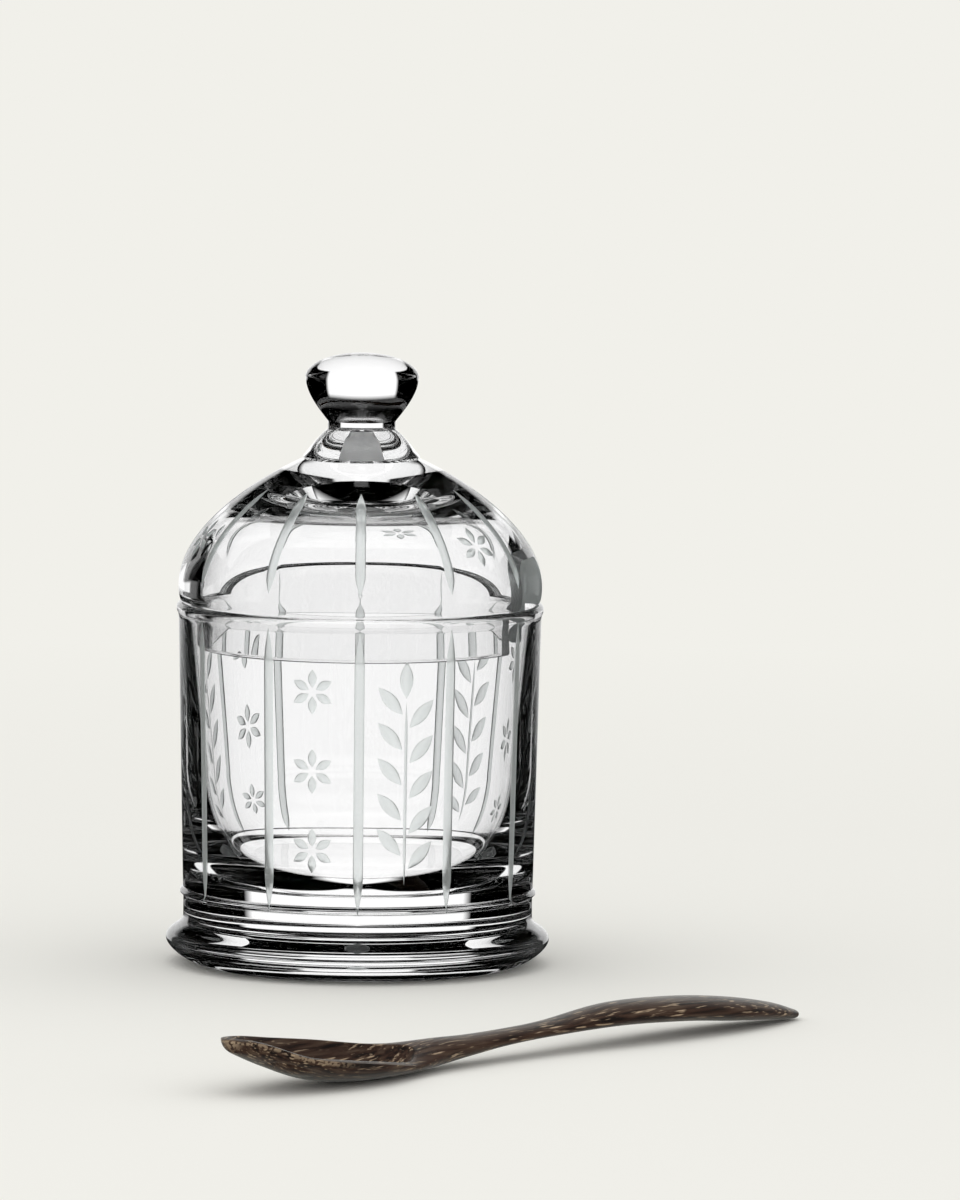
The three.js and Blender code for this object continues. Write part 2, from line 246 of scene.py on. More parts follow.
def lid_profile():
    """Dome, flange and knob as one piece of glass, from the crown inside to the top of the knob."""
    lip = DOME_TOP + KNOB_LIP
    bulb_start = NECK + NECK_LENGTH
    rise = BULB - bulb_start
    spread = KNOB_FOOT_RADIUS - NECK_RADIUS
    swell = BULB_RADIUS - NECK_RADIUS
    foot = FLANGE_FOOT + FLANGE_ROUND
    side_out, side_down = HOLLOW_SIDE_HANDLE
    return [
        (0, INNER_TOP),
        *bezier([
            (INNER_FLAT, INNER_TOP),
            (INNER_FLAT + HOLLOW_TOP_HANDLE * (INNER_RADIUS - INNER_FLAT), INNER_TOP),
            (side_out * INNER_RADIUS, INNER_TOP + side_down * (INNER_LEVEL - INNER_TOP)),
            (INNER_RADIUS, INNER_LEVEL),
        ], 40),
        *drawn_in((INNER_RADIUS, INNER_LEVEL), FLANGE_TOP, 12),
        *arc((FLANGE_BORE + FLANGE_ROUND, foot), (FLANGE_ROUND, FLANGE_ROUND), 180, 270, 6),
        *arc((FLANGE_RADIUS - FLANGE_ROUND, foot), (FLANGE_ROUND, FLANGE_ROUND), -90, 0, 6),
        (FLANGE_RADIUS, SEAT),
        *arc((SEAT_EDGE, DOME_LEVEL), (DOME_RADIUS - SEAT_EDGE, DOME_LEVEL - SEAT), -90, 0, 8),
        *bezier(dome_handles(), 44),
        *bezier([
            (KNOB_FOOT_RADIUS, lip),
            (NECK_RADIUS + NECK_HANDLE[0] * spread, lip + NECK_HANDLE[1] * (NECK - lip)),
            (NECK_RADIUS, NECK),
        ], 16),
        *bezier([
            (NECK_RADIUS, bulb_start),
            (NECK_RADIUS + BULB_HANDLE[0] * swell, bulb_start + BULB_HANDLE[1] * rise),
            (BULB_RADIUS, bulb_start + BULB_SIDE_HANDLE * rise),
            (BULB_RADIUS, BULB),
        ], 16),
        *arc((0, BULB), (BULB_RADIUS, KNOB_TOP - BULB), 0, 90, 24),
    ]


def dome_handles():
    """Handles of the curve up the dome: upright at its widest ring, and still rising under the knob."""
    return [
        (DOME_RADIUS, DOME_LEVEL),
        (DOME_RADIUS, DOME_SHOULDER),
        DOME_SLOPE,
        (KNOB_FOOT_RADIUS, DOME_TOP),
    ]


# Meshes


def mesh_object(name, points, faces):
    mesh = bpy.data.meshes.new(name)
    mesh.from_pydata([Vector(p) * MM for p in points], [], faces)
    mesh.update()
    made = bpy.data.objects.new(name, mesh)
    bpy.context.collection.objects.link(made)
    return made


def turned(name, profile, segments):
    """A body of revolution about Z. The profile runs anticlockwise from the axis back to the axis."""
    rings = [p for i, p in enumerate(profile) if i == 0 or math.dist(p, profile[i - 1]) > SAME_POINT]
    rings = rings[1:-1]
    points = [(0, 0, profile[0][1])]
    for radius, height in rings:
        for i in range(segments):
            angle = 2 * math.pi * i / segments
            points.append((radius * math.cos(angle), radius * math.sin(angle), height))
    points.append((0, 0, profile[-1][1]))
    return mesh_object(name, points, skin(len(rings), segments))


def skin(rings, sides):
    """Faces over rings of equally many points, closed by the first and the last point."""
    faces = []
    last = 1 + rings * sides
    for side in range(sides):
        after = (side + 1) % sides
        faces.append((0, 1 + after, 1 + side))
        for ring in range(rings - 1):
            low = 1 + ring * sides
            high = low + sides
            faces.append((low + side, low + after, high + after, high + side))
        top = 1 + (rings - 1) * sides
        faces.append((top + side, top + after, last))
    return faces


# Cuts: each is the path of a mitre wheel over a surface


def wall(across, height):
    """Place and outward direction on the pot's wall, at a bearing of zero."""
    share = (height - RIDGE) / (BEAD_START - RIDGE)
    radius = WALL_FOOT_RADIUS + (WALL_TOP_RADIUS - WALL_FOOT_RADIUS) * share
    angle = across / radius
    outward = Vector((math.cos(angle), math.sin(angle), 0))
    return outward * radius + Vector((0, 0, height)), outward


def dome(across, share):
    """Place and outward direction on the dome, a share of the way up its curve."""
    below, above = (Vector(bezier_at(dome_handles(), share + step)) for step in (-CURVE_STEP, CURVE_STEP))
    middle = (below + above) / 2
    rise = (above - below).normalized()
    angle = across / middle.x
    aside = Vector((math.cos(angle), math.sin(angle), 0))
    outward = aside * rise.y - Vector((0, 0, rise.x))
    return aside * middle.x + Vector((0, 0, middle.y)), outward


def stroke(surface, path, width, depth, taper):
    """A rounded groove along a path of (across, height), pointed over a share of its length at each end.
    Gives the points and faces of the closed body that the wheel takes out."""
    sides = CUT_SIDES
    places = [surface(*p) for p in path]
    last = len(places) - 1
    points = [places[0][0]]
    for i in range(1, last):
        centre, outward = places[i]
        along = (places[i + 1][0] - places[i - 1][0]).normalized()
        aside = along.cross(outward)
        reach = min(1, i / last / taper, (1 - i / last) / taper)
        reach = math.sin(reach * math.pi / 2)
        for side in range(sides - 1):
            angle = math.pi * side / (sides - 2)
            across = aside * (width / 2 * reach * math.cos(angle))
            points.append(centre + across - outward * (depth * reach * math.sin(angle)))
        points.append(centre + outward * (depth * reach))
    points.append(places[-1][0])
    return points, skin(last - 1, sides)


def cutter(name, strokes):
    """Strokes joined into one tool."""
    points = []
    faces = []
    for stroke_points, stroke_faces in strokes:
        start = len(points)
        points.extend(stroke_points)
        faces.extend(tuple(start + corner for corner in face) for face in stroke_faces)
    return mesh_object(name, points, faces)


def leaf(surface, root, length, lean, width, pace=1):
    """A pointed leaf that starts at root and leans from the upright by an angle in degrees.
    Pace is how far the surface's second coordinate goes for each millimetre."""
    angle = math.radians(lean)
    path = []
    for i in range(LEAF_STEPS + 1):
        out = length * i / LEAF_STEPS
        path.append((root[0] + out * math.sin(angle), root[1] + out * math.cos(angle) * pace))
    return stroke(surface, path, width, LEAF_DEPTH, LEAF_TAPER)


def straight(start, end, steps):
    """Path of a cut that runs straight up a surface."""
    return [(0, start + (end - start) * i / steps) for i in range(steps + 1)]


def blossom(surface, height, pace=1):
    """Petals all round a point, each cut like a leaf."""
    strokes = []
    for i in range(PETALS):
        lean = 360 * i / PETALS
        angle = math.radians(lean)
        root = (PETAL_GAP * math.sin(angle), height + PETAL_GAP * math.cos(angle) * pace)
        strokes.append(leaf(surface, root, PETAL_LENGTH, lean, PETAL_WIDTH, pace))
    return strokes


def sprig(surface):
    """An upright stem with pairs of leaves and one leaf at the top."""
    strokes = [stroke(surface, straight(*STEM, STEM_STEPS), STEM_WIDTH, STEM_DEPTH, STEM_TAPER)]
    for level in range(LEAF_PAIRS):
        height = FIRST_PAIR + PAIR_STEP * level
        for side, root in ((1, height), (-1, height + PAIR_STAGGER)):
            lean = side * LEAF_LEAN
            strokes.append(leaf(surface, (side * LEAF_ROOT, root), LEAF_LENGTH, lean, LEAF_WIDTH))
    strokes.append(leaf(surface, (0, TOP_LEAF), LEAF_LENGTH, 0, TOP_LEAF_WIDTH))
    return strokes


# Nodes


def add(tree, kind, inputs=None, **settings):
    """A node with its settings, and with its inputs set to values or linked to sockets.
    A node that is given as an input stands for its first output."""
    made = tree.nodes.new(kind)
    for name, value in settings.items():
        setattr(made, name, value)
    for name, value in (inputs or {}).items():
        if isinstance(value, bpy.types.Node):
            value = value.outputs[0]
        if isinstance(value, bpy.types.NodeSocket):
            tree.links.new(value, made.inputs[name])
        else:
            made.inputs[name].default_value = value
    return made


def colour(code):
    """An sRGB hex code as a linear colour."""
    channels = [int(code[i:i + 2], 16) / 255 for i in (1, 3, 5)]
    linear = [c / 12.92 if c <= 0.04045 else ((c + 0.055) / 1.055) ** 2.4 for c in channels]
    return (*linear, 1)


def material(name):
    made = bpy.data.materials.new(name)
    made.use_nodes = True
    made.node_tree.nodes.clear()
    return made, made.node_tree


def lead_crystal():
    """Lead crystal, blown and fire-polished: clear and brilliant, its reflections slightly wavy."""
    made, tree = material("lead_crystal")
    place = add(tree, "ShaderNodeTexCoord").outputs["Object"]
    wave = add(tree, "ShaderNodeTexNoise", {"Vector": place, "Scale": 1 / (BLOWN_WAVE * MM), "Detail": 1})
    tint = add(tree, "ShaderNodeMix", {0: wave, 6: colour("#FFFFFF"), 7: colour("#FEFEFE")},
               data_type="RGBA")
    bump = add(tree, "ShaderNodeBump", {"Height": wave, "Strength": 0.05, "Distance": 0.1 * MM})
    glass = add(tree, "ShaderNodeBsdfPrincipled", {
        "Base Color": tint.outputs[2],
        "Roughness": 0.0,
        "IOR": 1.55,
        "Transmission Weight": 1.0,
        "Normal": bump,
    })
    add(tree, "ShaderNodeOutputMaterial", {"Surface": glass})
    return made


def ground_crystal():
    """Lead crystal left matt by the cutting wheel: it scatters light, with a fine sparkle."""
    made, tree = material("ground_crystal")
    place = add(tree, "ShaderNodeTexCoord").outputs["Object"]
    grain = add(tree, "ShaderNodeTexNoise", {"Vector": place, "Scale": 1 / (GRIT * MM), "Detail": 2})
    tint = add(tree, "ShaderNodeMix", {0: grain, 6: colour("#F4F8F7"), 7: colour("#DDE5E3")},
               data_type="RGBA")
    bump = add(tree, "ShaderNodeBump", {"Height": grain, "Strength": 0.2, "Distance": 0.2 * MM})
    glass = add(tree, "ShaderNodeBsdfPrincipled", {
        "Base Color": tint.outputs[2],
        "Roughness": 0.3,
        "IOR": 1.55,
        "Transmission Weight": 0.7,
        "Normal": bump,
    })
    add(tree, "ShaderNodeOutputMaterial", {"Surface": glass})
    return made


def palm_wood():
    """Dark palm wood, carved and rubbed but not varnished: long fibres, pale vessels that show as short
    streaks along the grain, a chipped pale edge round the bowl and a grey sheen."""
    made, tree = material("palm_wood")
    place = add(tree, "ShaderNodeAttribute", attribute_name="grain").outputs["Vector"]
    long_grain = add(tree, "ShaderNodeMapping", {
        "Vector": place, "Scale": (1 / FIBRE_LENGTH, 1 / FIBRE_WIDTH, 1 / FIBRE_WIDTH)})
    fibre = add(tree, "ShaderNodeTexNoise", {"Vector": long_grain, "Scale": 1.0, "Detail": 4})
    tone = add(tree, "ShaderNodeValToRGB", {"Fac": fibre})
    tone.color_ramp.elements[0].position = 0.36
    tone.color_ramp.elements[0].color = colour("#20140F")
    tone.color_ramp.elements[1].position = 0.68
    tone.color_ramp.elements[1].color = colour("#584535")
    middle = tone.color_ramp.elements.new(0.5)
    middle.color = colour("#41291C")
    short_grain = add(tree, "ShaderNodeMapping", {
        "Vector": place, "Scale": (1 / VESSEL_LENGTH, 1 / VESSEL_WIDTH, 1 / VESSEL_WIDTH)})
    vessel = add(tree, "ShaderNodeTexNoise", {"Vector": short_grain, "Scale": 1.0, "Detail": 2})
    streak = add(tree, "ShaderNodeMapRange", {"Value": vessel, "From Min": 0.59, "From Max": 0.69})
    edge = add(tree, "ShaderNodeAttribute", attribute_name="edge").outputs["Fac"]
    crumb = add(tree, "ShaderNodeTexNoise", {"Vector": place, "Scale": 1 / CRUMB, "Detail": 1})
    chip = add(tree, "ShaderNodeMapRange", {"Value": crumb, "From Min": 0.42, "From Max": 0.52})
    chipped = add(tree, "ShaderNodeMath", {0: chip, 1: edge}, operation="MULTIPLY")
    pale = add(tree, "ShaderNodeMath", {0: streak, 1: chipped}, operation="MAXIMUM")
    wood = add(tree, "ShaderNodeMix", {0: pale, 6: tone, 7: colour("#AD967A")}, data_type="RGBA")
    bump = add(tree, "ShaderNodeBump", {"Height": fibre, "Strength": 0.3, "Distance": 0.3 * MM})
    shader = add(tree, "ShaderNodeBsdfPrincipled", {
        "Base Color": wood.outputs[2],
        "Roughness": 0.42,
        "Sheen Weight": 0.5,
        "Sheen Roughness": 0.35,
        "Sheen Tint": colour("#D6DAD6"),
        "Normal": bump,
    })
    add(tree, "ShaderNodeOutputMaterial", {"Surface": shader})
    return made


# A ring of cuts, laid round the axis by geometry nodes


def ring_tree():
    tree = bpy.data.node_groups.new("ring_of_cuts", "GeometryNodeTree")
    sockets = [
        ("Cutter", "NodeSocketObject"),
        ("Count", "NodeSocketInt"),
        ("Start", "NodeSocketFloat"),
        ("Finish", "NodeSocketMaterial"),
    ]
    for name, kind in sockets:
        tree.interface.new_socket(name, in_out="INPUT", socket_type=kind)
    tree.interface.new_socket("Geometry", in_out="OUTPUT", socket_type="NodeSocketGeometry")
    given = add(tree, "NodeGroupInput").outputs
    points = add(tree, "GeometryNodePoints", {"Count": given["Count"]})
    step = add(tree, "ShaderNodeMath", {0: 2 * math.pi, 1: given["Count"]}, operation="DIVIDE")
    index = add(tree, "GeometryNodeInputIndex")
    bearing = add(tree, "ShaderNodeMath", {
        0: index, 1: step, 2: given["Start"]}, operation="MULTIPLY_ADD")
    turn = add(tree, "ShaderNodeCombineXYZ", {"Z": bearing})
    rotation = add(tree, "FunctionNodeEulerToRotation", {0: turn})
    tool = add(tree, "GeometryNodeObjectInfo", {"Object": given["Cutter"]}, transform_space="ORIGINAL")
    placed = add(tree, "GeometryNodeInstanceOnPoints", {
        "Points": points,
        "Instance": tool.outputs["Geometry"],
        "Rotation": rotation,
    })
    real = add(tree, "GeometryNodeRealizeInstances", {"Geometry": placed})
    finish = add(tree, "GeometryNodeSetMaterial", {"Geometry": real, "Material": given["Finish"]})
    add(tree, "NodeGroupOutput", {0: finish})
    return tree


def baked(made):
    """The object's mesh with its modifiers worked in."""
    seen = made.evaluated_get(bpy.context.evaluated_depsgraph_get())
    mesh = bpy.data.meshes.new_from_object(seen)
    made.modifiers.clear()
    made.data = mesh
    return made


def ring_of(tool, count, start, finish, tree):
    """The tool repeated round the axis, with the finish that its cuts leave."""
    ring = mesh_object(tool.name + "_ring", [], [])
    nodes = ring.modifiers.new("ring", "NODES")
    nodes.node_group = tree
    values = {"Cutter": tool, "Count": count, "Start": start, "Finish": finish}
    for item in tree.interface.items_tree:
        if item.in_out == "INPUT":
            nodes[item.identifier] = values[item.name]
    return baked(ring)


def cut(glass, tools):
    """Takes the tools' shapes out of the glass, removes the tools and shades the glass smooth."""
    for tool in tools:
        difference = glass.modifiers.new("cut", "BOOLEAN")
        difference.operation = "DIFFERENCE"
        difference.solver = "MANIFOLD"
        difference.material_mode = "TRANSFER"
        difference.object = tool
    baked(glass)
    for tool in tools:
        bpy.data.objects.remove(tool)
    glass.data.polygons.foreach_set("use_smooth", [True] * len(glass.data.polygons))
    glass.data.set_sharp_from_angle(angle=SHARP_ANGLE)
    mark_cut_edges(glass.data)
    return glass


def mark_cut_edges(mesh):
    """Crisp edges where ground glass meets polished glass."""
    finishes = {}
    for face in mesh.polygons:
        for key in face.edge_keys:
            finishes.setdefault(key, set()).add(face.material_index)
    for edge in mesh.edges:
        if len(finishes[edge.key]) > 1:
            edge.use_edge_sharp = True


def polish_wall(mesh):
    """Gives the clear glass between the cuts the normals of the true cone, so that it bends light evenly."""
    low = RIDGE + RIDGE_HALF
    slope = (WALL_TOP_RADIUS - WALL_FOOT_RADIUS) / (BEAD_START - low)
    normals = [corner.vector.copy() for corner in mesh.corner_normals]
    for face in mesh.polygons:
        places = [mesh.vertices[corner].co / MM for corner in face.vertices]
        heights = [place.z for place in places]
        inner = min(place.xy.length for place in places) < WALL_FOOT_RADIUS - FLUTE_DEPTH
        below = min(heights) < low - TOLERANCE
        above = max(heights) > BEAD_START + TOLERANCE
        if face.material_index > 0 or inner or below or above:
            continue
        for corner, place in zip(face.loop_indices, places):
            normals[corner] = Vector((place.x, place.y, -slope * place.xy.length)).normalized()
    mesh.normals_split_custom_set(normals)


def notch_tool(finish):
    """The U-shaped way through the lid's edge, straight outwards."""
    half = NOTCH_WIDTH / 2
    inner = half - NOTCH_ROUND
    shoulder = NOTCH_TOP - NOTCH_ROUND
    outline = [
        (-half, FLANGE_FOOT - NOTCH_OVERRUN / 2),
        (half, FLANGE_FOOT - NOTCH_OVERRUN / 2),
        *arc((inner, shoulder), (NOTCH_ROUND, NOTCH_ROUND), 0, 90, 10),
        *arc((-inner, shoulder), (NOTCH_ROUND, NOTCH_ROUND), 90, 180, 10),
    ]
    outward = Vector((math.cos(NOTCH_BEARING), math.sin(NOTCH_BEARING), 0))
    across = Vector((-outward.y, outward.x, 0))
    points = []
    for reach in (FLANGE_BORE - NOTCH_OVERRUN, DOME_RADIUS + NOTCH_OVERRUN):
        for aside, height in outline:
            points.append(outward * reach + across * aside + Vector((0, 0, height)))
    count = len(outline)
    faces = [tuple(reversed(range(count))), tuple(range(count, 2 * count))]
    for i in range(count):
        after = (i + 1) % count
        faces.append((i, after, count + after, count + i))
    made = mesh_object("notch_tool", points, faces)
    made.data.materials.append(finish)
    return made


# The spoon


def smooth_least(a, b, blend):
    """The lesser of two heights, rounded where they come within blend of each other."""
    near = max(blend - abs(a - b), 0) / blend
    return min(a, b) - near * near * blend / 4


def through(rows, t):
    """A smooth curve through rows of numbers, with t counted in rows."""
    count = len(rows)
    start = min(int(t), count - 2)
    t -= start
    second = rows[start]
    third = rows[start + 1]
    first = rows[start - 1] if start > 0 else [2 * a - b for a, b in zip(second, third)]
    fourth = rows[start + 2] if start + 2 < count else [2 * b - a for a, b in zip(second, third)]
    values = []
    for before, here, after, beyond in zip(first, second, third, fourth):
        leaving = (after - before) / 2
        arriving = (beyond - here) / 2
        cubic = 2 * here - 2 * after + leaving + arriving
        square = 3 * after - 3 * here - 2 * leaving - arriving
        values.append(cubic * t ** 3 + square * t ** 2 + leaving * t + here)
    return values


def spoon_stations():
    """Rows of place along the spoon, half width, height of the side edge, crown over it, keel under it."""
    tip = BOWL_RIM_HEIGHT + BOWL_LIFT
    half = BOWL_WIDTH / 2
    bowl = BOWL_LENGTH
    handle = HANDLE_LENGTH
    return [
        (0.012 * bowl, 0.27 * half, tip, 0.6 * RIM_CROWN, tip - 2.4),
        (0.06 * bowl, 0.5 * half, tip, RIM_CROWN, tip - 3.6),
        (0.21 * bowl, 0.8 * half, BOWL_RIM_HEIGHT + 0.7 * BOWL_LIFT, RIM_CROWN, 4.8),
        (0.40 * bowl, half, BOWL_RIM_HEIGHT + 0.15 * BOWL_LIFT, RIM_CROWN, 1.3),
        (0.62 * bowl, 0.97 * half, 7.6, RIM_CROWN, 0),
        (0.84 * bowl, 0.7 * half, 5.7, 0.9, 0.1),
        (bowl + 0.02 * handle, 5.6, 4.7, 1.9, 0.6),
        (bowl + 0.11 * handle, 4.6, 4.5, 1.8, 1.8),
        (bowl + 0.21 * handle, 4.2, 4.9, 1.5, 3.0),
        (bowl + 0.33 * handle, 4.6, 5.4, 1.6, 3.7),
        (bowl + 0.50 * handle, 6.6, 6.4, 2.6, 4.0),
        (bowl + 0.67 * handle, 8, 5.8, 2.7, 3.1),
        (bowl + 0.80 * handle, 7.6, 4.2, 2.8, 1.7),
        (bowl + 0.91 * handle, 5.2, 2.6, 2.1, 0.7),
        (bowl + 0.98 * handle, 2.4, 1.3, 1.0, 0.1),
    ]


def hollow(along, across):
    """Height of the bowl's hollow, which is part of an ellipsoid tilted with the rim."""
    centre = BOWL_LENGTH / 2 - BOWL_RIM
    out = (along - centre) / (BOWL_LENGTH / 2 - 2 * BOWL_RIM)
    aside = across / (BOWL_WIDTH / 2 - BOWL_RIM)
    inside = 1 - out * out - aside * aside
    if inside <= 0:
        return math.inf
    level = BOWL_RIM_HEIGHT + RIM_CROWN - (along - centre) * BOWL_LIFT / (BOWL_LENGTH / 2)
    return level - (BOWL_DEPTH + RIM_CROWN) * math.sqrt(inside)


def ease(value, start, end):
    """0 before start, 1 after end, and smooth between them."""
    share = min(max((value - start) / (end - start), 0), 1)
    return share * share * (3 - 2 * share)


def near_drop(along, across, half):
    """How much lower the bowl's rim lies towards the viewer than on its far side."""
    share = along / BOWL_LENGTH
    length = ease(share, 0, DROP_FULL) * (1 - ease(share, *DROP_FADE))
    return NEAR_DROP * length * (half - across) / (2 * half)


def spoon():
    stations = spoon_stations()
    sides = SPOON_SIDES
    steps = SPOON_STEPS * (len(stations) - 1)
    local = [(0, 0, stations[0][2])]
    edges = [1]
    for i in range(steps + 1):
        place, half, edge, crown, keel = through(stations, i * (len(stations) - 1) / steps)
        keel = max(keel, 0)
        for side in range(sides):
            angle = -2 * math.pi * side / sides
            across = half * math.cos(angle)
            drop = near_drop(place, across, half)
            reach = crown if math.sin(angle) > 0 else edge - drop - keel
            height = edge - drop + reach * math.sin(angle)
            if math.sin(angle) > 0:
                height = smooth_least(height, hollow(place, across) - drop, RIM_BLEND)
            local.append((place, across, height))
            chips = CHIP_LEVEL * (1 - ease(place / BOWL_LENGTH, *CHIP_FADE))
            edges.append(chips * ease(abs(math.cos(angle)), *CHIP_BAND))
    edges.append(0)
    local.append((BOWL_LENGTH + HANDLE_LENGTH, 0, stations[-1][2]))
    middle = (BOWL_LENGTH + HANDLE_LENGTH) / 2
    lie = Matrix.Translation(SPOON_PLACE) @ Matrix.Rotation(SPOON_TURN, 4, "Z")
    points = [lie @ Vector((x - middle, y, z)) for x, y, z in local]
    made = mesh_object("spoon_carved", points, skin(steps + 1, sides))
    grain = made.data.attributes.new("grain", "FLOAT_VECTOR", "POINT")
    grain.data.foreach_set("vector", [number for p in local for number in p])
    edge = made.data.attributes.new("edge", "FLOAT", "POINT")
    edge.data.foreach_set("value", edges)
    made.data.polygons.foreach_set("use_smooth", [True] * len(made.data.polygons))
    made.data.materials.append(palm_wood())
    return made


# Assembly

crystal = lead_crystal()
ground = ground_crystal()
ring = ring_tree()
quarter = math.pi / 2
half_panel = math.pi / FLUTES
motifs = FLUTES // PANELS_PER_MOTIF

pot_flute = cutter("pot_flute", [
    stroke(wall, straight(*POT_FLUTE, FLUTE_STEPS), FLUTE_WIDTH, FLUTE_DEPTH, POT_FLUTE_TAPER)])
pot_sprig = cutter("pot_sprig", sprig(wall))
pot_blossoms = cutter("pot_blossoms", [
    petal for height in POT_BLOSSOMS for petal in blossom(wall, height)])
pot = turned("pot_glass", pot_profile(), TURN_SEGMENTS)
pot.data.materials.append(crystal)
cut(pot, [
    ring_of(pot_flute, FLUTES, -quarter, ground, ring),
    ring_of(pot_sprig, motifs, -quarter + half_panel, ground, ring),
    ring_of(pot_blossoms, motifs, -quarter - half_panel, ground, ring),
])
polish_wall(pot.data)

dome_flute = cutter("dome_flute", [
    stroke(dome, straight(*DOME_FLUTE, FLUTE_STEPS), FLUTE_WIDTH, FLUTE_DEPTH, DOME_FLUTE_TAPER)])
dome_blossom = cutter("dome_blossom", blossom(dome, DOME_BLOSSOM, DOME_PACE))
lid = turned("lid_glass", lid_profile(), TURN_SEGMENTS)
lid.data.materials.append(crystal)
cut(lid, [
    notch_tool(ground),
    ring_of(dome_flute, FLUTES, -quarter, ground, ring),
    ring_of(dome_blossom, motifs, -quarter + 3 * half_panel, ground, ring),
])
for tool in (pot_flute, pot_sprig, pot_blossoms, dome_flute, dome_blossom):
    bpy.data.objects.remove(tool)
carved = spoon()

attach(pot, "pot")
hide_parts("pot")
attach(lid, "lid")
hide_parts("lid_dome", "lid_knob")
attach(carved, "spoon")
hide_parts("spoon")


# Studio. The floor's fade, the lamp's size and the places of lamp and camera are in metres.

PALE = "#F1F0EA"
FLOOR_HALF = 900
FLOOR_LEVEL = -0.1
FLOOR_FADE = (0.3, 0.7)
FILL_LEVEL = 0.92
PANEL_LEVEL = 1.12
# Where the light that the glass sees starts and is full: degrees from straight behind the pot
PANEL_EDGE = (31, 28)
NARROW_EDGE = (13, 11)
SIDES_EDGE = (80, 86)
TABLE_EDGE = (110, 130)
# The same, as sines of the angle above the horizon
CEILING = (0.3, 0.22)
NARROW_BELOW = (-0.03, -0.05)
OUTSIDE_ABOVE = (-0.12, -0.1)
SIDES_BELOW = (-0.18, -0.21)
TABLE_BELOW = (-0.42, -0.5)
UNDERSIDE = (-0.95, -0.9)
CARD_BEARING = 57
CARD_REACH = 160
CARD_HALF = 90
CARD_HEIGHTS = (112, 280)
LENS = 396
SENSOR = 36
CAMERA_PLACE = (0, -2.984, 0.3836)
CAMERA_TARGET = (0.0272, 0, 0.0831)
CAMERA_ROLL = 0.55
LAMP_PLACE = (-0.3, -0.3, 1.0)
LAMP_TARGET = (0, -0.05, 0.05)
LAMP_SIZE = 0.9
LAMP_POWER = 1


def floor():
    """A sheet of pale paper that carries the shadow and fades into the background."""
    half = FLOOR_HALF
    sheet = [(-half, -half), (half, -half), (half, half), (-half, half)]
    made = mesh_object("floor", [(x, y, FLOOR_LEVEL) for x, y in sheet], [(0, 1, 2, 3)])
    paint, tree = material("floor_paper")
    place = add(tree, "ShaderNodeTexCoord").outputs["Object"]
    far = add(tree, "ShaderNodeVectorMath", {0: place}, operation="LENGTH")
    fade = add(tree, "ShaderNodeMapRange", {
        "Value": far.outputs["Value"], "From Min": FLOOR_FADE[0], "From Max": FLOOR_FADE[1]})
    paper = add(tree, "ShaderNodeBsdfDiffuse", {"Color": colour(PALE)})
    glow = add(tree, "ShaderNodeEmission", {"Color": colour(PALE), "Strength": 1.0})
    both = add(tree, "ShaderNodeMixShader", {0: fade, 1: paper, 2: glow})
    add(tree, "ShaderNodeOutputMaterial", {"Surface": both})
    made.data.materials.append(paint)
    made.visible_transmission = False
    made.visible_glossy = False


